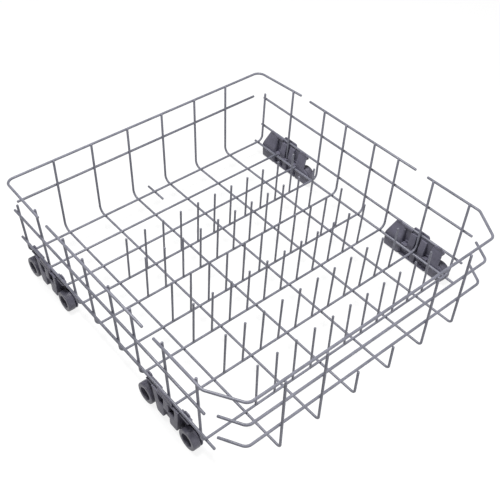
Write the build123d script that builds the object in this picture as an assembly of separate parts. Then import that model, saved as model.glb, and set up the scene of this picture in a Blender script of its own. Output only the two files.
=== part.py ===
from build123d import *
import math
import os

# Lower dishwasher basket: a welded, coated wire tub on eight rollers.
# Millimetres, +Z up, X across, -Y is the door side, Z = 0 is the track under the rollers.

# Wires: rails are the horizontal bands, rods are the floor wires, uprights and tines.
# Both have eight flats, so crossing wires meet flat on flat where they are welded.
rail_d = 3.8
rod_d = 3.6
rail_r = rail_d / 2
rod_r = rod_d / 2
weld_rail = rail_r + rod_r
flats = 8
bend_chord = 6.3
weld_slack = 0.05

# Heights of the wire centres; the cross wires of the floor are the reference
roller_r = 17.0
floor_over_axle = 12.0
z_floor = roller_r + floor_over_axle
z_long = z_floor - rod_d
z_edge = z_floor - weld_rail
low_rise = 30.6
mid_rise = 88.0
rim_rise = 137.6
back_rim_drop = 3.2
front_mid_rise = 91.5
front_low_rise = 45.2
tine_rise = 86.0
z_low = z_floor + low_rise
z_mid = z_floor + mid_rise
z_rim = z_floor + rim_rise
z_back_rim = z_rim - back_rim_drop
z_front_mid = z_floor + front_mid_rise
z_front_low = z_floor + front_low_rise
z_tine_top = z_floor + tine_rise
back_top_over = 3.6
side_top_over = 3.6
front_top_over = 1.2
short_top_over = 13.0

# Plan of the tub
side_foot = 246.7
side_lean = 0.0364
half_depth = 271.6
back_y = half_depth
front_y = -half_depth
edge_x = side_foot - 7.7
long_pitch = 68.5
long_count = 6
low_ended = (2, 3)
depth = 2 * half_depth
cross_share = (0.0328, 0.1281, 0.2202, 0.3085, 0.4024, 0.5215, 0.6154, 0.7461, 0.8732)
cross_y = [back_y - share * depth for share in cross_share]
bare_rows = (1, 2)
short_row = 0
post_y = back_y - 0.164 * depth
side_bend = 11.0
back_bend = 12.0
front_bend = 6.0

# Ends of the straight rails along the sides
side_rim_y = (cross_y[6] - 33.8, cross_y[3] + 41.0)
side_mid_y = (cross_y[8] - 18.0, back_y - 10.6)
side_low_y = (cross_y[8] - 15.8, back_y - 9.6)
side_edge_y = (cross_y[8] - 18.3, back_y - 6.6)
back_mid_half = side_foot - 4.7
bare_end_x = edge_x + rail_r
stub_length = 46.0

# Rims with a U shape in plan
back_return_y = post_y - 16.5
back_taper = 3.0
back_corner = 14.0
front_return_y = cross_y[7] + 15.0
chamfer_side_y = cross_y[8] - 16.3
chamfer_front_x = side_foot - 21.7
chamfer_end_x = side_foot - 1.7
chamfer_end_y = front_y + 38.6
front_corner = 12.0

# Tines: one row on each of the last six cross wires, all leaning to the door but the last
tine_rows = range(3, 9)
tine_count = 11
tine_pitch = 33.63
tine_first_x = -154.5
tine_lean = 3.5
tine_sides = 6
upright_row = 8

# Carrier web: a moulded plate inside the rollers, leaning out to the low rail above them
wall = 2.4
web_gap = 0.3
web_in_x = edge_x + rail_r + web_gap
web_out_x = web_in_x + wall
web_low = 2.8
web_knee = 2 * roller_r + 1.5
web_high = z_low + 1.0
rear_foot_u = 61.0
rear_corner_u = 62.5
rear_top_u = 48.5
front_foot_u = -47.0
front_lobe_u = -55.5
front_edge_u = -50.0
front_top_u = -52.5

# Rollers on moulded stub axles, two to a carrier
roller_w = 13.0
roller_sides = 20
dish_sides = 12
hub_sides = 10
roller_gap = 0.5
roller_in_x = web_out_x + roller_gap
axle_r = 4.0
axle_play = 0.06
end_play = 0.4
hub_r = 7.2
hub_face = 5.6
rim_inner_r = 10.6
dish_floor = 3.6
head_r = 5.2
head_t = 2.0
axle_u = (47.5, -48.5)

# Carrier grip on the low rail: fingers inside it, a tab outside it, shelves below it, hooks under the edge rail
grip_gap = 0.05
grip_wall = 2.0
finger_spans = ((37.5, 47.0), (-51.0, -38.0))
finger_rise = 3.6
tab_span = (-16.5, 16.5)
tab_rise = 4.8
tab_corner = 4.5
open_top_u = (-22.0, 14.0)
shelf_spans = ((27.0, 46.0), (-52.0, -29.0))
shelf_drop = 8.0
hook_w = 9.0

# Carrier middle: open channels beside the upright, two hollow boxes, two pockets below them, a frame outside
channel_u = (28.0, -27.5)
channel_high = z_low - 2.6
floor_t = 2.4
floor_x = web_in_x + 6.3
rib_t = 2.1
post_block_u = (-3.5, 6.0)
post_block_high = z_floor - 3.0
box_spans = ((3.5, 16.0), (-17.5, -5.5))
box_in_x = web_in_x + 2.0
box_top_x = web_in_x + 6.6
box_low = z_floor - 0.5
box_high = z_low - 5.1
frame_in_x = web_in_x + 9.4
frame_out_x = web_in_x + 15.0
back_in_x = frame_in_x - 0.4
back_out_x = frame_in_x + 1.8
back_low = z_floor - 9.0
frame_low = z_floor + 2.0
frame_high = z_low - 4.6
frame_rear_u = (24.2, 29.0)
frame_front_u = (-28.4, -30.0)
cavity_wall = 1.8
cavity_low = z_floor + 6.0
cavity_high = z_low - 7.6
cavity_spans = (((3.5, 13.0), (3.5, 18.0)), ((-21.0, -8.0), (-22.0, -8.0)))
cup_in_x = web_in_x + 7.4
cup_spans = ((4.0, 20.0), (-27.0, -9.5))
cup_low = (9.5, 10.5)
cup_wall = 2.0

carrier_y = {"front": cross_y[7], "rear": post_y}


def side_x(z):
    """X of the centre of a side upright at height z."""
    return side_foot + side_lean * (z - z_floor)


def rail_x(z):
    """X of the centre of a rail lying against the outside of the uprights at height z."""
    return side_x(z) + weld_rail * math.hypot(1.0, side_lean)


def bend_points(before, at, after, radius):
    """Points along the rounded corner of a path, about one bend chord apart."""
    a = (Vector(*before) - Vector(*at)).normalized()
    b = (Vector(*after) - Vector(*at)).normalized()
    half = math.acos(max(-1.0, min(1.0, a.dot(b)))) / 2
    turn = math.pi - 2 * half
    centre = Vector(*at) + (a + b).normalized() * (radius / math.sin(half))
    first = Vector(*at) + a * (radius / math.tan(half)) - centre
    last = Vector(*at) + b * (radius / math.tan(half)) - centre
    steps = max(2, round(radius * turn / bend_chord))
    shares = [k / steps for k in range(steps + 1)]
    weights = [(math.sin((1 - t) * turn), math.sin(t * turn)) for t in shares]
    return [centre + (first * p + last * q) * (1 / math.sin(turn)) for p, q in weights]


def wire(points, radius, across, bend=0.0):
    """Eight-sided wire along a path with rounded corners; one pair of flats faces across."""
    path = [Vector(*points[0])]
    for before, at, after in zip(points, points[1:], points[2:]):
        path += bend_points(before, at, after, bend)
    path.append(Vector(*points[-1]))
    plane = Plane(origin=path[0], x_dir=across, z_dir=(path[1] - path[0]).normalized())
    outer = radius / math.cos(math.pi / flats)
    turns = [math.pi * (2 * k + 1) / flats for k in range(flats)]
    ring = [plane.from_local_coords((outer * math.cos(t), outer * math.sin(t), 0)) for t in turns]
    section = Face(Wire.make_polygon(ring, close=True))
    return Solid.sweep(section, Wire.make_polygon(path, close=False), transition=Transition.RIGHT)


def mirrored(points):
    """The same path on the left side of the tub."""
    return [(-x, y, z) for x, y, z in points]


def box(x, y, z):
    """Box between two values on each axis."""
    size = [abs(b - a) for a, b in (x, y, z)]
    middle = [(a + b) / 2 for a, b in (x, y, z)]
    return Pos(*middle) * Box(*size)


def disc(x, y, z, radius, sides):
    """Prism with many sides along X, its corners on the given radius."""
    turns = [2 * math.pi * (k + 0.5) / sides for k in range(sides)]
    ring = [(x[0], y + radius * math.cos(t), z + radius * math.sin(t)) for t in turns]
    return extrude(Face(Wire.make_polygon(ring, close=True)), x[1] - x[0], dir=(1, 0, 0))


def pin(x, y, z, radius):
    """Round bar along X between two values of X."""
    middle = ((x[0] + x[1]) / 2, y, z)
    return Pos(*middle) * Rot(0, 90, 0) * Cylinder(radius, x[1] - x[0])


ALONG_X = (1, 0, 0)
ALONG_Y = (0, 1, 0)
UP = (0, 0, 1)
parts = {}

# Rims: a U round the back, a straight rail on each side, a U with cut corners round the front
rim_x = rail_x(z_rim)
back_rail_y = back_y + weld_rail
front_rail_y = front_y + weld_rail
back_rim_y = back_rail_y + weld_slack
share = (post_y - back_return_y) / (back_rim_y - post_y)
back_start_x = rim_x + weld_slack + back_taper * share
back_start_z = z_rim + (z_rim - z_back_rim) * share
back_half = [
    (back_start_x, back_return_y, back_start_z),
    (rim_x + weld_slack - back_taper, back_rim_y, z_back_rim),
]
parts["rim_back"] = wire(back_half + mirrored(back_half[::-1]), rail_r, ALONG_X, back_corner)
front_half = [
    (rim_x + weld_slack, front_return_y, z_rim),
    (rim_x + weld_slack, chamfer_side_y, z_rim),
    (chamfer_front_x, front_rail_y + weld_slack, z_rim),
]
parts["rim_front"] = wire(front_half + mirrored(front_half[::-1]), rail_r, ALONG_X, front_corner)

# Side rails: rim, mid, low and floor edge on both sides
side_rails = {
    "rim": (rim_x, z_rim, side_rim_y),
    "mid": (rail_x(z_mid), z_mid, side_mid_y),
    "low": (rail_x(z_low), z_low, side_low_y),
    "edge": (edge_x, z_edge, side_edge_y),
}
for name, (x, z, span) in side_rails.items():
    path = [(x, span[0], z), (x, span[1], z)]
    tilt = 0.0 if name == "edge" else side_lean
    parts[name + "_right"] = wire(path, rail_r, (1, 0, -tilt))
    parts[name + "_left"] = wire(mirrored(path), rail_r, (-1, 0, -tilt))

# Back mid rail and the two front rails, whose ends follow the cut corners
back_mid = [(-back_mid_half, back_rail_y, z_mid), (back_mid_half, back_rail_y, z_mid)]
parts["mid_back"] = wire(back_mid, rail_r, ALONG_Y)
for name, z in (("mid_front", z_front_mid), ("low_front", z_front_low)):
    half = [(chamfer_end_x, chamfer_end_y, z), (chamfer_front_x, front_rail_y, z)]
    parts[name] = wire(half + mirrored(half[::-1]), rail_r, UP, front_corner)

# Long wires: down the back wall, along under the floor and up in front of the front rails
for i in range(long_count):
    x = (i - (long_count - 1) / 2) * long_pitch
    top = z_front_low if i in low_ended else z_rim + front_top_over
    floor = [(x, back_y, z_long), (x, front_y, z_long)]
    rise = (x, back_y, z_back_rim + back_top_over)
    back = wire([rise, floor[0], (x, 0, z_long)], rod_r, ALONG_X, back_bend)
    front = wire([(x, 0, z_long), floor[1], (x, front_y, top)], rod_r, ALONG_X, front_bend)
    parts[f"long_wire_{i + 1}"] = back + front

# Cross wires: over the long wires, bent up inside the side rails; two are bare floor wires
for j, y in enumerate(cross_y):
    if j in bare_rows:
        path = [(-bare_end_x, y, z_floor), (bare_end_x, y, z_floor)]
        parts[f"cross_wire_{j + 1}"] = wire(path, rod_r, ALONG_Y)
    else:
        top = z_mid + short_top_over if j == short_row else z_rim + side_top_over
        half = [(side_x(top), y, top), (side_foot, y, z_floor)]
        parts[f"cross_wire_{j + 1}"] = wire(half + mirrored(half[::-1]), rod_r, ALONG_Y, side_bend)

# Posts over the rear carriers, and the short locating wire under the first cross wire
post_top = z_rim + side_top_over
post = [(side_x(post_top), post_y, post_top), (side_x(z_floor), post_y, z_floor)]
parts["post_right"] = wire(post, rod_r, ALONG_Y)
parts["post_left"] = wire(mirrored(post), rod_r, ALONG_Y)
stub_end = back_rim_y + rail_r
parts["stub"] = wire([(0, stub_end - stub_length, z_long), (0, stub_end, z_long)], rod_r, ALONG_X)

# Tines: oblique prisms standing on the top flats of the last six cross wires
for j in tine_rows:
    base = z_floor + rod_r
    lean = 0.0 if j == upright_row else tine_lean
    row = []
    for k in range(tine_count):
        foot = Plane((tine_first_x + tine_pitch * k, cross_y[j], base))
        section = foot * RegularPolygon(rod_r, tine_sides, major_radius=False)
        rise = Vector(0, -lean, z_tine_top - base)
        row.append(extrude(section, rise.length, dir=rise))
    parts[f"tines_{j + 1}"] = Compound(children=row)

# Carriers: web, fingers, tab, boxes, cups and two stub axles, moulded in one piece
low_x = rail_x(z_low)
grip_in = low_x - rail_r - grip_gap
grip_out = low_x + rail_r + grip_gap
web_top_x = grip_in - grip_wall
web_section = [
    (web_in_x, web_low),
    (web_in_x, web_knee),
    (web_top_x, channel_high),
    (web_top_x, web_high),
    (grip_in, web_high),
    (grip_in, channel_high),
    (web_out_x, web_knee),
    (web_out_x, web_low),
]
web_side = [
    (rear_foot_u, web_low),
    (rear_corner_u, z_floor - 1.0),
    (rear_top_u, web_high),
    (front_top_u, web_high),
    (front_edge_u, z_low - 8.0),
    (front_edge_u, z_floor + 4.0),
    (front_lobe_u, z_floor - 3.0),
    (front_lobe_u, roller_r - 8.0),
    (front_foot_u, web_low),
]
tab_side = [
    (tab_span[0], frame_high - wall),
    (tab_span[0], z_low + tab_rise - tab_corner),
    (tab_span[0] + tab_corner, z_low + tab_rise),
    (tab_span[1] - tab_corner, z_low + tab_rise),
    (tab_span[1], z_low + tab_rise - tab_corner),
    (tab_span[1], frame_high - wall),
]


def side_plate(x, y, outline):
    """Flat form between two values of X, its outline given as (u, z) points about y."""
    face = Face(Wire.make_polygon([(x[0], y + u, z) for u, z in outline], close=True))
    return extrude(face, x[1] - x[0], dir=ALONG_X)


def about(y, span):
    """A span of u as a span of Y."""
    return (y + min(span), y + max(span))


def bar(section, y):
    """Straight form along Y between two values, its section given as (x, z) points."""
    face = Face(Wire.make_polygon([(x, y[0], z) for x, z in section], close=True))
    return extrude(face, y[1] - y[0], dir=ALONG_Y)


def carrier_middle(y):
    """Back wall of the channels, boxes open outwards, cups open inwards below them, and a frame around both."""
    channel = about(y, channel_u)
    frame = [(frame_rear_u[1], frame_high), (frame_rear_u[0], frame_low)]
    frame += [(frame_front_u[0], frame_low), (frame_front_u[1], frame_high)]
    body = side_plate((frame_in_x, frame_out_x), y, frame)
    body += box((back_in_x, back_out_x), channel, (back_low, channel_high))
    face = [(box_in_x, box_low), (box_in_x, web_knee), (box_top_x, box_high)]
    behind = [(frame_in_x + wall, box_high), (frame_in_x + wall, box_low)]
    for span in box_spans:
        body += bar(face + behind, about(y, span))
    depth_low, depth_high = box_in_x + cavity_wall, box_top_x + cavity_wall
    hollow = [(depth_low, cavity_low), (depth_low, web_knee), (depth_high, cavity_high)]
    hollow += [(frame_out_x, cavity_high), (frame_out_x, cavity_low)]
    for (low, high), span in zip(cavity_spans, box_spans):
        hole = [(low[0], cavity_low), (low[1], cavity_low), (high[1], cavity_high), (high[0], cavity_high)]
        body -= side_plate((frame_in_x + cavity_wall, frame_out_x + wall), y, hole)
        body -= bar(hollow, (y + min(span) + cavity_wall, y + max(span) - cavity_wall))
    body += box((floor_x - wall / 4, cup_in_x + wall / 4), channel, (web_low + floor_t / 2, post_block_high))
    outer = ((frame_rear_u[0], cup_spans[0][0]), (cup_spans[1][1], frame_front_u[0]))
    for (u0, u1), low, (rear, front) in zip(cup_spans, cup_low, outer):
        cup = [(rear, frame_low), (u1, low), (u0, low), (front, frame_low)]
        body += side_plate((cup_in_x, frame_out_x), y, cup)
        pocket = (y + u0 + cup_wall, y + u1 - cup_wall)
        body -= box((floor_x - wall, frame_out_x - cup_wall), pocket, (low + cup_wall, frame_low - 1.0))
    return body


def carrier(y):
    """One right-hand carrier, centred on the upright at y."""
    low_end, high_end = y + front_lobe_u, y + rear_corner_u
    body = bar(web_section, (low_end, high_end))
    through = (web_in_x - wall, frame_out_x)
    body = body & side_plate(through, y, web_side)
    channel = about(y, channel_u)
    body -= box(through, channel, (web_low - wall, channel_high))
    body -= box(through, about(y, open_top_u), (channel_high - wall, web_high + wall))
    body += box((web_in_x, floor_x), channel, (web_low, web_low + floor_t))
    rib_in, rib_out = web_in_x + wall / 4, frame_in_x + wall / 4
    rib = [(rib_in, web_low), (rib_in, web_knee), (web_top_x, channel_high), (rib_out, channel_high), (rib_out, web_low)]
    for u in (channel[1] - rib_t * 3 / 4, channel[0] - rib_t / 4):
        body += bar(rib, (u, u + rib_t))
    body += box((web_in_x + wall / 3, floor_x), about(y, post_block_u), (web_low, post_block_high))
    body += carrier_middle(y)
    for span in finger_spans:
        body += box((web_top_x - wall / 6, grip_in), about(y, span), (z_low - rail_r, z_low + finger_rise))
    for span in shelf_spans:
        shelf = z_low - shelf_drop
        body += box((web_top_x - wall / 4, grip_out + wall / 4), about(y, span), (shelf, shelf + grip_wall))
    body += side_plate((grip_out, grip_out + grip_wall), y, tab_side)
    for u in axle_u:
        end = roller_in_x + hub_face + end_play
        body += pin((web_out_x - wall / 2, end), y + u, roller_r, axle_r)
        body += disc((end, end + head_t), y + u, roller_r, head_r, hub_sides)
        hook = (y + u - hook_w / 2, y + u + hook_w / 2)
        under = (z_edge - rail_r - wall, z_edge - rail_r)
        body += box((edge_x - rail_r, web_in_x + wall / 2), hook, under)
    return body


def roller(y):
    """One roller on the right side, its axis along X, with a dished outer face and a raised hub."""
    inner, outer = roller_in_x, roller_in_x + roller_w
    body = disc((inner, outer), y, roller_r, roller_r / math.cos(math.pi / roller_sides), roller_sides)
    body -= disc((inner + dish_floor, outer + wall), y, roller_r, rim_inner_r, dish_sides)
    body += disc((inner + dish_floor, inner + hub_face), y, roller_r, hub_r, hub_sides)
    return body - pin((inner - wall, outer), y, roller_r, axle_r + axle_play)


for end, y in carrier_y.items():
    right = carrier(y)
    parts[f"carrier_{end}_right"] = right
    parts[f"carrier_{end}_left"] = mirror(right, Plane.YZ)
    for place, u in zip(("b", "a"), axle_u):
        wheel = roller(y + u)
        parts[f"roller_{end}_{place}_right"] = wheel
        parts[f"roller_{end}_{place}_left"] = mirror(wheel, Plane.YZ)

# The tub is centred front to back before it is written
centre_y = (back_rim_y + rail_r + front_y - rod_r) / 2
os.makedirs("parts", exist_ok=True)
for name, shape in parts.items():
    export_step(Pos(0, -centre_y, 0) * shape, f"parts/{name}.step")
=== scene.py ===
import math

import bpy
import numpy as np
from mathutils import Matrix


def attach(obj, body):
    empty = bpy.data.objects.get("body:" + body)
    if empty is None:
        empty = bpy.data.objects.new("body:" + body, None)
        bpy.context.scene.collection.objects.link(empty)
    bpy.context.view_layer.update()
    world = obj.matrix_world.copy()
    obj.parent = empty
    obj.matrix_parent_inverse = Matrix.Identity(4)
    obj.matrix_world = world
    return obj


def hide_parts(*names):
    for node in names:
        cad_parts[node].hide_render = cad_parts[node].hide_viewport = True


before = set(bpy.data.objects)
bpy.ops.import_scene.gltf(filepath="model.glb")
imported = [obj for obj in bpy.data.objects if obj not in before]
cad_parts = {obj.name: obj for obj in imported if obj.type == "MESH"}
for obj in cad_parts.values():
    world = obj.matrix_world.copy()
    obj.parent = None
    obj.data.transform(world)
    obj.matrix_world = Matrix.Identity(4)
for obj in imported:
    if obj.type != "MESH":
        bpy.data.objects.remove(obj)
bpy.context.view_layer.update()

# Long wires: six lengths of drawn steel wire, bent up at the back and the front, welded under the floor and
# dipped in grey nylon with the rest of the tub. The outer four reach the front rim, the middle two stop at the
# low front rail. The coat is fuller than the flats of the CAD wires, so that it is as wide as their corners.
rod_r = 1.8
coat_full = 0.15
z_floor = 29.0
z_long = z_floor - 2 * rod_r
half_depth = 271.6
centred = -1.925
back_y = half_depth + centred
front_y = -half_depth + centred + coat_full
z_rim = z_floor + 137.6
rim_drop = 3.2
z_back_rim = z_rim - rim_drop
z_front_low = z_floor + 45.2
over_rim, over_front_rim = 3.6, 1.2
long_pitch = 68.5
long_x = (np.arange(6) - 2.5) * long_pitch
short_fronts = (2, 3)
long_front_top = np.where(np.isin(np.arange(6), short_fronts), z_front_low, z_rim + over_front_rim)
back_bend, front_bend = 12.0, 6.0


def bent_route(corners, bend, steps=13):
    """Route with rounded corners. Where way v turns into way w, the points are start + bend*(sin(a)*v +
    (1 - cos(a))*side) and the directions cos(a)*v + sin(a)*side, for a from 0 to the turn."""
    corners = np.asarray(corners, float)
    ways = np.diff(corners, axis=0)
    ways /= np.linalg.norm(ways, axis=1, keepdims=True)
    points, heads = [corners[:1]], [ways[:1]]
    bends = np.broadcast_to(bend, len(corners) - 2)
    for corner, v, w, r in zip(corners[1:-1], ways[:-1], ways[1:], bends):
        turn = math.acos(float(np.clip(v @ w, -1, 1)))
        side = w - v * math.cos(turn)
        side /= np.linalg.norm(side)
        a = np.linspace(0, turn, steps)[:, None]
        start = corner - v * r * math.tan(turn / 2)
        points.append(start + r * (np.sin(a) * v + (1 - np.cos(a)) * side))
        heads.append(np.cos(a) * v + np.sin(a) * side)
    return np.concatenate(points + [corners[-1:]]), np.concatenate(heads + [ways[-1:]])


def skin(rings, loop=False):
    """Closed skin over a stack of rings, an array (rings, points, 3). Quads join each ring to the next, and
    a strip of quads shuts each end, or the last ring joins the first. Where the volume, the summed triple
    products of the corners, comes out negative, every face is turned over."""
    count, around = rings.shape[:2]
    at = np.arange(count * around).reshape(count, around)
    here, ahead = (at, np.roll(at, -1, axis=0)) if loop else (at[:-1], at[1:])
    sides = [here, np.roll(here, -1, axis=1), np.roll(ahead, -1, axis=1), ahead]
    faces = [np.stack(sides, -1).reshape(-1, 4)]
    if not loop:
        j = np.arange(around // 2 - 1)
        strip = np.stack([j, around - 1 - j, around - 2 - j, j + 1], -1)
        faces += [at[0][strip], at[-1][strip[:, ::-1]]]
    faces = np.concatenate(faces)
    points = rings.reshape(-1, 3)
    a, b, c, d = points[faces].transpose(1, 0, 2)
    volume = np.sum(a * (np.cross(b, c) + np.cross(c, d)))
    return points, faces if volume > 0 else faces[:, ::-1]


def carried(route, heads, section, normal, scale=1.0):
    """Rings of a section carried along a flat route: route + scale*(s*across + t*normal), where (s, t) is a
    point of the section and across lies in the route's plane, square to its direction."""
    across = np.cross(normal, heads)[:, None]
    s, t = section[None, :, :1], section[None, :, 1:]
    scale = np.broadcast_to(np.reshape(scale, (-1, 1, 1)), (len(route), 1, 1))
    return route[:, None] + scale * (s * across + t * np.asarray(normal, float))


def wire(corners, radius, normal, bend=1.0, tip=1.2, around=16):
    """Round coated wire on a bent route. Its radius holds along the wire, and towards each end it falls with
    sin(a) at tip*(1 - cos(a)) from the end, where the coating has drawn round."""
    route, heads = bent_route(corners, bend)
    a = np.radians((14, 36, 62, 90))
    inset = (tip * (1 - np.cos(a)))[:, None]
    start, end = route[:1] + inset * heads[:1], route[-1:] - inset[::-1] * heads[-1:]
    each = np.ones((len(a), 1))
    full = np.ones(len(route) - 2)
    route = np.concatenate([start, route[1:-1], end])
    heads = np.concatenate([each * heads[:1], heads[1:-1], each * heads[-1:]])
    scale = np.concatenate([np.sin(a), full, np.sin(a[::-1])])
    turn = np.arange(around) * math.tau / around
    circle = (radius + coat_full) * np.stack([np.cos(turn), np.sin(turn)], -1)
    return skin(carried(route, heads, circle, normal, scale))


def set_piece(name, shells, finish, slot, body, *nodes):
    """One object at the origin, in metres, from closed shells in millimetres. It rides on its body, takes the
    finish it is given and hides the CAD nodes it stands for. Its slot is not used. Edges sharper than 42 degrees
    stay crisp."""
    starts = np.cumsum([0] + [len(points) for points, _ in shells])
    points = np.concatenate([points for points, _ in shells]) * 0.001
    faces = np.concatenate([faces + start for (_, faces), start in zip(shells, starts)])
    mesh = bpy.data.meshes.new(name)
    mesh.from_pydata(points.tolist(), [], faces.tolist())
    mesh.polygons.foreach_set("use_smooth", np.ones(len(faces), bool))
    mesh.set_sharp_from_angle(angle=math.radians(42))
    mesh.materials.append(finish)
    thing = bpy.data.objects.new(name, mesh)
    bpy.context.scene.collection.objects.link(thing)
    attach(thing, body)
    if nodes:
        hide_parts(*nodes)


def mottle_group():
    """Uneven colour, gloss and surface of a dipped or moulded plastic: slow noise mixes the light and the
    dark tone and moves the roughness between its ends, and fine noise gives the height of the skin."""
    group = bpy.data.node_groups.new("plastic_mottle", "ShaderNodeTree")
    for label in ("Light", "Dark"):
        group.interface.new_socket(label, in_out="INPUT", socket_type="NodeSocketColor")
    for label in ("Patch", "Grain", "Smooth", "Rough"):
        group.interface.new_socket(label, in_out="INPUT", socket_type="NodeSocketFloat")
    group.interface.new_socket("Color", in_out="OUTPUT", socket_type="NodeSocketColor")
    for label in ("Roughness", "Height"):
        group.interface.new_socket(label, in_out="OUTPUT", socket_type="NodeSocketFloat")
    nodes, links = group.nodes, group.links
    given = nodes.new("NodeGroupInput")
    result = nodes.new("NodeGroupOutput")
    place = nodes.new("ShaderNodeTexCoord")
    patch = nodes.new("ShaderNodeTexNoise")
    grain = nodes.new("ShaderNodeTexNoise")
    spread = nodes.new("ShaderNodeMapRange")
    gloss = nodes.new("ShaderNodeMapRange")
    tone = nodes.new("ShaderNodeMix")
    tone.data_type = "RGBA"
    patch.inputs["Detail"].default_value = 5.0
    grain.inputs["Detail"].default_value = 3.0
    spread.inputs["From Min"].default_value = 0.3
    spread.inputs["From Max"].default_value = 0.7
    for noise, scale in ((patch, "Patch"), (grain, "Grain")):
        links.new(place.outputs["Object"], noise.inputs["Vector"])
        links.new(given.outputs[scale], noise.inputs["Scale"])
    links.new(patch.outputs["Fac"], spread.inputs["Value"])
    links.new(spread.outputs["Result"], tone.inputs["Factor"])
    links.new(given.outputs["Dark"], tone.inputs["A"])
    links.new(given.outputs["Light"], tone.inputs["B"])
    links.new(spread.outputs["Result"], gloss.inputs["Value"])
    links.new(given.outputs["Smooth"], gloss.inputs["To Min"])
    links.new(given.outputs["Rough"], gloss.inputs["To Max"])
    links.new(tone.outputs["Result"], result.inputs["Color"])
    links.new(gloss.outputs["Result"], result.inputs["Roughness"])
    links.new(grain.outputs["Fac"], result.inputs["Height"])
    return group


mottle = mottle_group()


def plastic(name, light, dark, patch, grain, smooth, rough, relief, depth):
    """Plastic with the mottle's colour and roughness, and its fine noise as a bump of the given relief."""
    finish = bpy.data.materials.new(name)
    finish.use_nodes = True
    nodes, links = finish.node_tree.nodes, finish.node_tree.links
    shader = nodes["Principled BSDF"]
    uneven = nodes.new("ShaderNodeGroup")
    uneven.node_tree = mottle
    bump = nodes.new("ShaderNodeBump")
    tones = {"Light": (*light, 1), "Dark": (*dark, 1)}
    scales = {"Patch": patch, "Grain": grain, "Smooth": smooth, "Rough": rough}
    for label, value in (tones | scales).items():
        uneven.inputs[label].default_value = value
    bump.inputs["Strength"].default_value = relief
    bump.inputs["Distance"].default_value = depth
    links.new(uneven.outputs["Color"], shader.inputs["Base Color"])
    links.new(uneven.outputs["Roughness"], shader.inputs["Roughness"])
    links.new(uneven.outputs["Height"], bump.inputs["Height"])
    links.new(bump.outputs["Normal"], shader.inputs["Normal"])
    return finish


grey_coat = plastic(
    "grey_dip_coat", light=(0.232, 0.234, 0.284), dark=(0.162, 0.165, 0.204), patch=55, grain=900,
    smooth=0.37, rough=0.5, relief=0.12, depth=0.0003,
)
coat_shader = grey_coat.node_tree.nodes["Principled BSDF"]
coat_shader.inputs["Coat Weight"].default_value = 0.12
coat_shader.inputs["Coat Roughness"].default_value = 0.22

for i, (x, top) in enumerate(zip(long_x, long_front_top)):
    back_top = (x, back_y, z_back_rim + over_rim)
    route = [back_top, (x, back_y, z_long), (x, front_y, z_long), (x, front_y, top)]
    rod = wire(route, rod_r, (1, 0, 0), (back_bend, front_bend))
    set_piece(f"coated_long_wire_{i + 1}", [rod], grey_coat, "wire", "basket", f"long_wire_{i + 1}")

# Cross wires: nine lengths of the same wire laid over the long wires. Six are bent up to the side rims,
# the rearmost only to just over the mid rail, and two are cut straight and end on the edge rails.
depth_y = 2 * half_depth
cross_share = np.array((0.0328, 0.1281, 0.2202, 0.3085, 0.4024, 0.5215, 0.6154, 0.7461, 0.8732))
cross_y = back_y - cross_share * depth_y
bare_rows = (1, 2)
side_foot = 246.7
side_lean = 0.0364
side_bend = 11.0
edge_x = side_foot - 7.7
rail_r = 1.9
z_mid = z_floor + 88.0
z_rear_top = z_mid + 13.0
z_side_top = z_rim + over_rim


def side_x(z):
    """X of a side upright's centre at height z: the foot plus the lean times the rise."""
    return side_foot + side_lean * (z - z_floor)


def both_sides(half):
    """A route from its right half: the right points, then their mirror images in reverse."""
    half = np.asarray(half, float)
    return np.concatenate([half, half[::-1] * (-1, 1, 1)])


for j, y in enumerate(cross_y):
    if j in bare_rows:
        route = both_sides([(edge_x + rail_r, y, z_floor)])
    else:
        top = z_rear_top if j == 0 else z_side_top
        route = both_sides([(side_x(top), y, top), (side_foot, y, z_floor)])
    rod = wire(route, rod_r, (0, 1, 0), side_bend)
    set_piece(f"coated_cross_wire_{j + 1}", [rod], grey_coat, "wire", "basket", f"cross_wire_{j + 1}")

# Posts and stub: short straight offcuts. A post stands on each side over the rear carrier, from the rim
# to the floor, and one stub lies under the rearmost cross wire in the middle of the back.
hands = (("right", 1), ("left", -1))
post_y = back_y - 0.164 * depth_y
rim_gap = 0.05
back_rim_y = back_y + rail_r + rod_r + rim_gap - coat_full
stub_end = back_rim_y + rail_r
stub_length = 46.0
for hand, sign in hands:
    post = [(sign * side_x(z), post_y, z) for z in (z_side_top, z_floor)]
    set_piece(f"coated_post_{hand}", [wire(post, rod_r, (0, 1, 0))], grey_coat, "wire", "basket", f"post_{hand}")
stub = [(0, stub_end - stub_length, z_long), (0, stub_end, z_long)]
set_piece("coated_stub", [wire(stub, rod_r, (1, 0, 0))], grey_coat, "wire", "basket", "stub")

# Side rails: heavier straight wires along both sides. The rim, mid and low rails lie against the outside
# of the uprights, and the edge rail lies under the ends of the cross wires.
weld = rail_r + rod_r
z_low = z_floor + 30.6
z_edge = z_floor - weld


def rail_x(z):
    """X of a rail's centre outside the uprights at height z, one wire's half width from each."""
    return side_x(z) + weld * math.hypot(1, side_lean)


# Each rail's x, its z and its ends towards the front and the back.
side_rails = {
    "rim": (rail_x(z_rim), z_rim, cross_y[6] - 33.8, cross_y[3] + 41.0),
    "mid": (rail_x(z_mid), z_mid, cross_y[8] - 18.0, back_y - 10.6),
    "low": (rail_x(z_low), z_low, cross_y[8] - 15.8, back_y - 9.6),
    "edge": (edge_x, z_edge, cross_y[8] - 18.3, back_y - 6.6),
}
for name, (x, z, start, end) in side_rails.items():
    for hand, sign in hands:
        rail = wire([(sign * x, start, z), (sign * x, end, z)], rail_r, (0, 0, 1))
        set_piece(f"coated_{name}_{hand}", [rail], grey_coat, "wire", "basket", f"{name}_{hand}")

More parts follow.
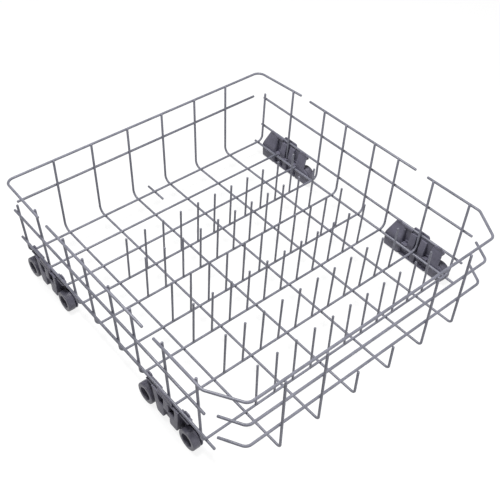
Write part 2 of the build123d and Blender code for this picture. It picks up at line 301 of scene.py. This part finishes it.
# Rims and end rails: heavier wire bent in the flat. The back rim is a U that drops a little towards the
# back, the front rim and the two front rails turn twice at each cut corner, and one rail crosses the back.
rim_x = rail_x(z_rim) + rim_gap - coat_full
back_rail_y = back_y + weld - coat_full
front_rail_y = front_y + weld
back_rim_bend, corner_bend = 14.0, 12.0
# The arms of the back rim close in and drop from the posts to the back, and run on past the posts in line.
arm_close = 3.0
arm_end_y = post_y - 16.5
run_on = (post_y - arm_end_y) / (back_rim_y - post_y)
back_half = [
    (rim_x + arm_close * run_on, arm_end_y, z_rim + rim_drop * run_on),
    (rim_x - arm_close, back_rim_y, z_back_rim),
]
back_fall = np.array((0.0, back_half[0][2] - back_half[1][2], back_rim_y - arm_end_y))
back_rim = wire(both_sides(back_half), rail_r, back_fall / np.linalg.norm(back_fall), back_rim_bend)
set_piece("coated_rim_back", [back_rim], grey_coat, "wire", "basket", "rim_back")
corner_x = side_foot - 21.7
front_half = [
    (rim_x, cross_y[7] + 15.0, z_rim),
    (rim_x, cross_y[8] - 16.3, z_rim),
    (corner_x, front_rail_y + rim_gap, z_rim),
]
front_rim = wire(both_sides(front_half), rail_r, (0, 0, 1), corner_bend)
set_piece("coated_rim_front", [front_rim], grey_coat, "wire", "basket", "rim_front")
z_front_mid = z_floor + 91.5
front_rail_end = (side_foot - 1.7, front_y + 38.6)
for name, z in (("mid_front", z_front_mid), ("low_front", z_front_low)):
    half = [(*front_rail_end, z), (corner_x, front_rail_y, z)]
    rail = wire(both_sides(half), rail_r, (0, 0, 1), corner_bend)
    set_piece(f"coated_{name}", [rail], grey_coat, "wire", "basket", name)
mid_back_x = side_foot - 4.7
mid_back = wire(both_sides([(mid_back_x, back_rail_y, z_mid)]), rail_r, (0, 0, 1))
set_piece("coated_mid_back", [mid_back], grey_coat, "wire", "basket", "mid_back")

# Tines: eleven short wires welded on end to each of the last six cross wires, and leaning to the door but
# for the last row. The coating has drawn into a round, full drop at each tip.
tine_count = 11
tine_first, tine_pitch = -154.5, 33.63
tine_x = tine_first + tine_pitch * np.arange(tine_count)
tine_rows = range(3, 9)
tine_lean = 3.5
z_tine_foot = z_floor + 0.4 * rod_r
z_tine_top = z_floor + 86.8
tine_r = 1.53
tine_tip = 1.9
drop_r = 2.0
drop_back = 0.07


def tiled(shell, places):
    """Copies of one shell, moved to each place, as one shell."""
    points, faces = shell
    starts = np.arange(len(places))[:, None, None] * len(points)
    return (points + places[:, None]).reshape(-1, 3), (faces + starts).reshape(-1, 4)


def beads(places, size):
    """Unit balls, cos(b)*(cos(a), sin(a)) wide at height sin(b), stretched to the size at each place."""
    a = np.arange(10) * math.tau / 10
    b = np.radians((-80, -50, -20, 20, 50, 80))[:, None]
    ball = np.stack([np.cos(b) * np.cos(a), np.cos(b) * np.sin(a), np.sin(b) + 0 * a], -1)
    return tiled(skin(ball * size), places)


for j in tine_rows:
    lean = 0.0 if j == tine_rows[-1] else tine_lean
    one = wire([(0, 0, z_tine_foot), (0, -lean, z_tine_top)], tine_r, (1, 0, 0), tip=tine_tip)
    places = np.stack([tine_x, np.full(tine_count, cross_y[j]), np.zeros(tine_count)], -1)
    drops = beads(places + (0, drop_back - lean, z_tine_top - drop_r), (drop_r, drop_r, drop_r))
    row = [tiled(one, places), drops]
    set_piece(f"coated_tines_{j + 1}", row, grey_coat, "wire", "basket", f"tines_{j + 1}")

# Weld fillets: at each crossing the wires are fused, and the coating has run into the corner and left a
# small smooth bead. Each is a low ball about the point of contact, wider along the joint than across it.
bead_wide, bead_low = 1.75, 0.8
tine_bead = (2.5, 1.85, 1.0)
z_floor_weld = z_floor - rod_r
z_tine_weld = z_floor + 0.92 * rod_r


def grid_points(xs, ys, zs):
    """Every combination of the given X, Y and Z values as an array of points."""
    return np.stack(np.meshgrid(xs, ys, zs, indexing="ij"), -1).reshape(-1, 3)


floor_welds = np.concatenate([
    grid_points(long_x, cross_y, [z_floor_weld]),
    grid_points([-edge_x, edge_x], cross_y, [z_floor_weld]),
    [(0, cross_y[0], z_floor_weld)],
])
side_places = [(z, y) for z in (z_low, z_mid) for y in [*np.delete(cross_y, bare_rows), post_y]]
side_places += [(z_rim, y) for y in [*cross_y[3:], post_y]]
side_welds = np.array([(sign * (side_x(z) + rod_r), y, z) for z, y in side_places for _, sign in hands])
end_welds = np.concatenate([
    grid_points(long_x, [back_y + rod_r], [z_mid, z_back_rim]),
    grid_points(np.delete(long_x, short_fronts), [front_y + rod_r], [z_rim, z_front_mid]),
    grid_points(long_x, [front_y + rod_r], [z_front_low]),
])
tine_welds = grid_points(tine_x, cross_y[list(tine_rows)], [z_tine_weld])
fillets = [
    beads(floor_welds, (bead_wide, bead_wide, bead_low)),
    beads(side_welds, (bead_low, bead_wide, bead_wide)),
    beads(end_welds, (bead_wide, bead_low, bead_wide)),
    beads(tine_welds, tine_bead),
]
set_piece("weld_fillets", fillets, grey_coat, "wire", "basket")

# Carriers: four dark mouldings of glass-filled polypropylene that grip the low rail between inner fingers and
# an outer tab, and hook under the edge rail. Each is one shot: two web plates, boxes, cups and stub axles.
# One form is made for the right side, with u along the rail from its middle, x outwards and z up.
dark_mould = plastic(
    "dark_moulding", light=(0.155, 0.15, 0.2), dark=(0.1, 0.097, 0.132), patch=40, grain=1500,
    smooth=0.42, rough=0.55, relief=0.2, depth=0.0004,
)
carrier_y = {"front": cross_y[7], "rear": post_y}
web_in, web_out = edge_x + rail_r + 0.3, edge_x + rail_r + 2.7
web_low, web_knee, web_high = 2.8, 35.5, z_low + 1.0
grip_gap = 0.05
grip_in, grip_out = rail_x(z_low) - rail_r - grip_gap, rail_x(z_low) + rail_r + grip_gap
channel = (-27.5, 28.0)
channel_high = z_low - 2.6
roller_r = 17.0
axle_u = (47.5, -48.5)


def level(value):
    """An outline edge, or a lean, that stays at one value."""
    return lambda z: np.full_like(z, value)


def stops(*pairs):
    """An outline edge, or a lean, through (height, value) pairs with straight runs between them. It holds the
    first value below them and the last one above them."""
    heights, values = zip(*pairs)
    return lambda z: np.interp(z, heights, values)


def rounded(u, side, top, r):
    """An outline edge with a round upper corner: u up to the height top - r, and from there
    u - side*r*(1 - sqrt(1 - d^2)), where d runs from 0 to 1 at the top."""
    def edge(z):
        d = np.clip((z - (top - r)) / r, 0, 1)
        return u - side * r * (1 - np.sqrt(1 - d ** 2))
    return edge


def shell(z, low, high, rings, lean):
    """Moulded skin on an outline that runs up u = low(z) and down u = high(z) between two heights. A ring
    (x, inset, share) lies at x + share*lean(z), with the outline drawn in by its inset."""
    x, inset, share = np.asarray(rings, float).T[:, :, None]
    t = (1 - np.cos(np.linspace(0, math.pi, 41))) / 2
    height = z[0] + inset + (z[1] - z[0] - 2 * inset) * t
    out = x + share * lean(height)
    up = np.stack([out, low(height) + inset, height], -1)
    down = np.stack([out, high(height) - inset, height], -1)[:, ::-1]
    return skin(np.concatenate([up, down], axis=1))


def round_edge(x, way, edge):
    """Rings of a rounded edge: drawn in by edge*(1 - sin(a)) at x + way*edge*(1 - cos(a)), from the face back."""
    a = np.radians((0, 30, 60, 90))
    return np.stack([x + way * edge * (1 - np.cos(a)), edge * (1 - np.sin(a)), np.ones(len(a))], -1)


def panel(z, low, high, x, lean=level(0.0), edge=0.6):
    """Flat moulded panel between two values of x, with rounded edges on both faces."""
    rings = np.concatenate([round_edge(x[0], 1, edge), round_edge(x[1], -1, edge)[::-1]])
    return shell(z, low, high, rings, lean)


def tray(z, low, high, x, wall, lean=level(0.0), edge=0.8, corner=0.4):
    """Moulded tray with a floor at x[0] and four walls to its open side at x[1]. Only the floor leans, and a
    small slope fills the corner between the floor and the walls."""
    way = np.sign(x[1] - x[0])
    inner = x[0] + way * wall
    inside = [(inner, wall + corner, 1), (x[0] + way * (wall + corner), wall, 1), (x[1], wall, 0), (x[1], 0, 0)]
    return shell(z, low, high, np.concatenate([inside, round_edge(x[0], way, edge)[::-1]]), lean)


def block(u, x, z, edge=0.6):
    """Rounded block between two values each of u, x and z."""
    return panel(z, level(min(u)), level(max(u)), x, edge=edge)


# Web plates: the inner face of the carrier, upright beside the rollers and leaning out to the rail over them. The
# rear plate is cut back to its top corner, the front one is scooped out over a round guard that lies behind the
# roller, and both roll over into the channel. Fingers and shelves on top take the rail, with a tab outside it.
top_lean = grip_in - 2.0 - web_in
web_lean = stops((web_knee, 0.0), (channel_high, top_lean))
rear_end = stops((web_low, 60.5), (6.0, 61.6), (z_floor - 1, 62.5), (web_high - 2, 49.4), (web_high, 47.6))
scoop = stops((z_floor + 4, -50.6), (46, -50.0), (50, -49.4), (54, -49.8), (58, -51.2), (web_high, -53.0))
guard_r = roller_r - 0.4


def front_end(z):
    """Front edge of the web: the scoop, or the round guard u = axle - sqrt(r^2 - (z - axle height)^2) beyond it."""
    guard = axle_u[1] - np.sqrt(np.clip(guard_r ** 2 - (z - roller_r) ** 2, 0, None))
    return np.minimum(scoop(z), guard)


roll_r, roll_wall = 5.0, 2.0
knee_bend = 12.0
above = channel_high + 0.3
rear_gap = stops((channel_high, channel[1] + roll_r), (above, 14.0))
front_gap = stops((channel_high, channel[0] - roll_r), (above, -31.0))
sill_deep, sill_thick = 6.3, 2.4
rib_u, rib_x = (-3.5, 6.0), (web_in + 0.8, web_in + 6.2)
carrier_form = [
    panel((web_low, web_high), rear_gap, rear_end, (web_in, web_out), web_lean),
    panel((web_low, web_high), front_end, front_gap, (web_in, web_out), web_lean),
    block(channel, (web_in, web_in + sill_deep), (web_low, web_low + sill_thick)),
    block(rib_u, rib_x, (web_low + 0.1, z_floor - 3), 0.9),
]


def roll_section(r, wall):
    """Section (s, t) of a rolled edge: an arc s = r - r*cos(a), t = -r*sin(a) from -45 to 90 degrees, then
    straight outwards, and back a wall thickness behind. It is sunk half a millimetre into the plate."""
    a = np.radians(np.linspace(-45, 90, 10))
    way = np.stack([-np.cos(a), -np.sin(a)], -1)
    front = np.concatenate([r * way, [(r, -r)]])
    back = np.concatenate([(r - wall) * way, [(r, wall - r)]])
    return np.concatenate([front, back[::-1]]) + (r - 0.5, 0)


along_y = np.array((0.0, 1.0, 0.0))
rise = [(web_in, 0, web_low + 0.3), (web_in, 0, web_knee), (web_in + top_lean, 0, channel_high)]
route, heads = bent_route(rise, knee_bend)
roll = roll_section(roll_r, roll_wall)
for edge_u, side in ((channel[1], 1), (channel[0], -1)):
    section = roll * (1, side) + (0, edge_u + side * roll_r)
    carrier_form.append(skin(carried(route, heads, section, along_y)))
finger_high, finger_r = z_low + 4.1, 4.0
for u0, u1 in ((37.5, 47.0), (-47.5, -35.0)):
    sides = [rounded(u, side, finger_high, finger_r) for u, side in ((u0, -1), (u1, 1))]
    carrier_form.append(panel((z_low - rail_r, finger_high), *sides, (grip_in - 2.4, grip_in - 0.1), edge=0.7))
shelf_x, shelf_z = (grip_in - 2.6, grip_out + 0.6), (z_low - 8, z_low - 6)
for shelf_u in ((27.0, 46.0), (-49.8, -29.0)):
    carrier_form.append(block(shelf_u, shelf_x, shelf_z, 0.5))
frame_low, frame_high = z_floor + 2.0, z_low - 4.6
tab_high, tab_half, tab_r = z_low + 4.8, 16.5, 4.5
tab_sides = [rounded(side * tab_half, side, tab_high, tab_r) for side in (-1, 1)]
carrier_form.append(panel((frame_high - 2.4, tab_high), *tab_sides, (grip_out, grip_out + 2.0), edge=0.7))

# Boxes and cups: in the channel the wall steps in to two boxes that are open outwards, and below them it steps out
# to two cups that are open inwards, so that the mould draws without slides. A frame joins them under the tab.
box_in, cup_in, frame_in, frame_out = web_in + 2.0, web_in + 7.4, web_in + 9.4, web_in + 15.0
cavity_low, cavity_high = z_floor + 6.0, z_low - 7.6
box_low, box_high, box_wall = 20.5, z_low - 5.1, 1.8
box_lean = stops((web_knee, 0.0), (box_high, 4.6))
box_x = (box_in, frame_in + 1.6)
for u0, u1 in ((3.5, 16.0), (-17.5, -5.5)):
    carrier_form.append(tray((box_low, box_high), level(u0), level(u1), box_x, box_wall, box_lean))
# Small floors beside the boxes, at the level of the edge rail.
ledge_x, ledge_z = (web_in + 1.0, frame_in), (z_floor - 3.5, z_floor - 1.4)
for ledge_u in ((16.2, 27.5), (-27.0, -17.7)):
    carrier_form.append(block(ledge_u, ledge_x, ledge_z, 0.5))
# The wall at the back of the channel, left open behind the boxes, and the lower wall, left open behind the cups.
back_x, back_z = (frame_in - 0.4, frame_in + 1.8), (20, channel_high)
step_low, step_high = frame_low - 1, frame_low
lower_x, lower_low = (web_in + 5.7, cup_in + 0.6), web_low + 1.3
thin_edge = 0.4
carrier_form += [
    panel(back_z, stops((step_low, 18.5), (step_high, 15.0)), level(channel[1]), back_x),
    panel(back_z, stops((step_low, -9.5), (step_high, -7.0)), level(4.5), back_x),
    panel(back_z, level(channel[0]), stops((step_low, -25.0), (step_high, -16.5)), back_x),
    block(channel, (back_x[0] + 0.1, back_x[1] - 0.1), (z_low - 6, channel_high - 0.1), thin_edge),
    block(channel, (lower_x[0] + 0.1, lower_x[1] - 0.1), (lower_low - 0.1, 11.5), thin_edge),
    block((18.0, channel[1]), lower_x, (lower_low, z_floor - 3), thin_edge),
    block((-11.5, 6.0), lower_x, (lower_low, z_floor - 3.1), thin_edge),
    block((channel[0], -25.0), lower_x, (lower_low, z_floor - 3), thin_edge),
]
# The frame: three upright bars, a head over them and a sill, whose ends splay from the foot to the head.
foot_rear, foot_front = 24.2, -28.4
frame_rear = stops((frame_low, foot_rear), (frame_high, 29.0))
frame_front = stops((frame_low, foot_front), (frame_high, -30.0))
bar_x, bar_z = (frame_in + 0.15, frame_out - 0.15), (frame_low - 0.2, cavity_high + 0.7)
carrier_form += [
    panel(bar_z, stops((cavity_low, 13.0), (cavity_high, 18.0)), frame_rear, bar_x),
    panel(bar_z, level(-8.0), level(3.5), bar_x),
    panel(bar_z, frame_front, stops((cavity_low, -21.0), (cavity_high, -22.0)), bar_x),
    panel((cavity_high, frame_high), frame_front, frame_rear, (frame_in, frame_out)),
    panel((frame_low - 0.4, cavity_low), frame_front, frame_rear, (frame_out - 2.6, frame_out - 0.3)),
]
cup_wall, cup_r = 2.0, 4.0


def cup_side(low, foot, top, way):
    """Side edge of a cup: a straight run from u = foot at the low end to u = top at the frame, and below the height
    low + r drawn in by way*(r - sqrt(r^2 - d^2)), where d is the depth under that height."""
    run = stops((low, foot), (frame_low, top))
    return lambda z: run(z) + way * (cup_r - np.sqrt(cup_r ** 2 - np.clip(low + cup_r - z, 0, cup_r) ** 2))


for low, foot, top in ((9.5, (4.0, 20.0), (4.0, foot_rear)), (10.5, (-27.0, -9.5), (foot_front, -9.5))):
    sides = cup_side(low, foot[0], top[0], 1), cup_side(low, foot[1], top[1], -1)
    carrier_form.append(tray((low, frame_low + 1), *sides, (frame_out - 0.05, cup_in), cup_wall))

# Stub axles and hooks: each roller runs on a round axle moulded on the web, with a snap head that keeps it on.
# A flat tongue beside each axle reaches under the edge rail.
roller_in = web_out + 0.5
axle_r = 4.0
head_x = roller_in + 6.0
shank = [(web_out - 1, 1), (web_out - 1, axle_r), (head_x, axle_r)]
snap_head = [(0.0, 5.0), (0.5, 5.2), (1.2, 4.9), (1.7, 4.0), (2.0, 2.7), (2.0, 0.8)]
pin = np.concatenate([shank, np.add(snap_head, (head_x, 0))])
tongue_wide, tongue_thick, tongue_edge = 9.0, 2.4, 0.6
tongue_z = z_edge - rail_r - tongue_thick / 2


def slab(width, thick, edge):
    """Section of a rounded bar: a rectangle whose corners are quarter circles of radius edge."""
    a = np.radians(np.arange(0, 91, 30))
    corner = edge * np.stack([np.cos(a), np.sin(a)], -1) + (thick / 2 - edge, width / 2 - edge)
    half = np.concatenate([corner, corner[::-1] * (-1, 1)])
    return np.concatenate([half, -half])


def turned(profile, y, z, around=40):
    """Turned form on an axle along X: a profile of (x, r) points swept round the axle."""
    a = np.arange(around) * math.tau / around
    x, r = np.asarray(profile, float).T[:, :, None]
    return skin(np.stack([x + 0 * a, y + r * np.cos(a), z + r * np.sin(a)], -1))


for u in axle_u:
    carrier_form.append(turned(pin, u, roller_r))
    route, heads = bent_route([(web_in + 1.2, u, tongue_z), (edge_x - rail_r, u, tongue_z)], 1)
    section = slab(tongue_wide, tongue_thick, tongue_edge)
    carrier_form.append(skin(carried(route, heads, section, along_y)))
for end, y in carrier_y.items():
    for hand, sign in hands:
        shells = [(points * (sign, 1, 1) + (0, y, 0), faces[:, ::sign]) for points, faces in carrier_form]
        name = f"carrier_{end}_{hand}"
        set_piece(f"moulded_{name}", shells, dark_mould, "carrier", "basket", name)

# Rollers: eight acetal wheels that snap on the stub axles. The outer face is dished between the rim and a raised
# hub, the inner edge has a chamfer, and the tread has fine grooves round it from the turned mould.
roller_grey = plastic(
    "roller_acetal", light=(0.145, 0.141, 0.182), dark=(0.092, 0.089, 0.118), patch=60, grain=1200,
    smooth=0.36, rough=0.5, relief=0.15, depth=0.0003,
)
roller_w = 13.0
groove_deep, groove_pitch = 0.16, 2.0
roller_around = 96


def roller_profile():
    """Closed profile (x, r) of a roller: bore, inner face and chamfer, tread, rim, dish and hub. The tread is
    roller_r less the groove's depth times cos^2(tau*x/pitch) where that cosine is positive."""
    t = np.linspace(2.0, roller_w - 0.9, 61)
    wave = np.clip(np.cos(t * math.tau / groove_pitch), 0, 1)
    tread = np.stack([t, roller_r - groove_deep * wave ** 2], -1)
    inner = [(0.25, 4.06), (0.0, 4.4), (0.0, 14.0), (0.2, 14.5), (1.6, 16.5)]
    rim = [(roller_w - 0.25, 16.55), (roller_w, 16.0), (roller_w, 11.1), (roller_w - 0.4, 10.4)]
    dish = [(4.3, 10.0), (3.75, 9.7), (3.6, 9.2), (3.6, 8.2), (3.8, 7.6), (4.3, 7.25)]
    hub = [(5.1, 7.1), (5.5, 6.9), (5.6, 6.4), (5.6, 4.6), (5.4, 4.15), (5.0, 4.06)]
    return np.concatenate([inner, tread, rim, dish, hub]) + (roller_in, 0)


a = (np.arange(roller_around) * math.tau / roller_around)[:, None]
x, r = roller_profile().T
for end, y in carrier_y.items():
    for place, u in zip(("b", "a"), axle_u):
        ring = np.stack([x + 0 * a, y + u + r * np.cos(a), roller_r + r * np.sin(a)], -1)
        for hand, sign in hands:
            name = f"roller_{end}_{place}_{hand}"
            wheel = skin(ring * (sign, 1, 1), loop=True)
            set_piece(f"turned_{name}", [wheel], roller_grey, "roller", f"wheel_{end}_{place}_{hand}", name)

# Studio: a pale floor under the rollers, an even white surround, a soft box overhead and a weak fill from the
# front, as for a catalogue picture, seen from the front left corner and well above the rim.
floor_half = 6.0
floor_corners = [(sx * floor_half, sy * floor_half, 0) for sx, sy in ((-1, -1), (1, -1), (1, 1), (-1, 1))]
floor_mesh = bpy.data.meshes.new("studio_floor")
floor_mesh.from_pydata(floor_corners, [], [(0, 1, 2, 3)])
floor = bpy.data.objects.new("studio_floor", floor_mesh)
bpy.context.scene.collection.objects.link(floor)
paper = bpy.data.materials.new("pale_paper")
paper.use_nodes = True
nodes, links = paper.node_tree.nodes, paper.node_tree.links
nodes.remove(nodes["Principled BSDF"])
seen = nodes.new("ShaderNodeLightPath")
lit = nodes.new("ShaderNodeBsdfDiffuse")
lit.inputs["Color"].default_value = (0.45, 0.45, 0.45, 1)
shade = nodes.new("ShaderNodeBsdfDiffuse")
shade.inputs["Color"].default_value = (0.2, 0.2, 0.2, 1)
glow = nodes.new("ShaderNodeEmission")
glow.inputs["Strength"].default_value = 0.85
pale = nodes.new("ShaderNodeAddShader")
either = nodes.new("ShaderNodeMath")
either.operation = "MAXIMUM"
choice = nodes.new("ShaderNodeMixShader")
links.new(shade.outputs[0], pale.inputs[0])
links.new(glow.outputs[0], pale.inputs[1])
links.new(seen.outputs["Is Camera Ray"], either.inputs[0])
links.new(seen.outputs["Is Glossy Ray"], either.inputs[1])
links.new(either.outputs[0], choice.inputs[0])
links.new(lit.outputs[0], choice.inputs[1])
links.new(pale.outputs[0], choice.inputs[2])
links.new(choice.outputs[0], nodes["Material Output"].inputs["Surface"])
floor_mesh.materials.append(paper)

world = bpy.data.worlds.new("white_surround")
bpy.context.scene.world = world
world.use_nodes = True
nodes, links = world.node_tree.nodes, world.node_tree.links
sky = nodes["Background"]
sky.inputs["Color"].default_value = (1, 1, 1, 1)
path = nodes.new("ShaderNodeLightPath")
strength = nodes.new("ShaderNodeMapRange")
strength.inputs["To Min"].default_value = 0.26
strength.inputs["To Max"].default_value = 1.0
links.new(path.outputs["Is Camera Ray"], strength.inputs["Value"])
links.new(strength.outputs["Result"], sky.inputs["Strength"])

lamp = bpy.data.lights.new("soft_box", "AREA")
lamp.shape = "RECTANGLE"
lamp.size, lamp.size_y = 0.7, 0.6
lamp.energy = 28
soft_box = bpy.data.objects.new("soft_box", lamp)
soft_box.location = (-0.2, 0.2, 1.65)
soft_box.rotation_euler = (math.radians(-7.1), math.radians(-7.1), 0)
bpy.context.scene.collection.objects.link(soft_box)

fill = bpy.data.lights.new("front_fill", "AREA")
fill.size = 0.9
fill.energy = 6.5
front_fill = bpy.data.objects.new("front_fill", fill)
front_fill.location = (0.2, -1.4, 0.6)
front_fill.rotation_euler = (math.radians(68.7), 0, math.radians(8.1))
bpy.context.scene.collection.objects.link(front_fill)

lens = bpy.data.cameras.new("catalogue_camera")
lens.sensor_width = 36.0
lens.lens = 56.604
lens.shift_x, lens.shift_y = 0.0266, 0.01671
camera = bpy.data.objects.new("catalogue_camera", lens)
camera.location = (-0.57645, -0.663851, 0.917142)
camera.rotation_euler = [math.radians(angle) for angle in (45.56479, -0.68895, -39.21708)]
bpy.context.scene.collection.objects.link(camera)
bpy.context.scene.camera = camera
bpy.context.scene.view_settings.view_transform = "Standard"
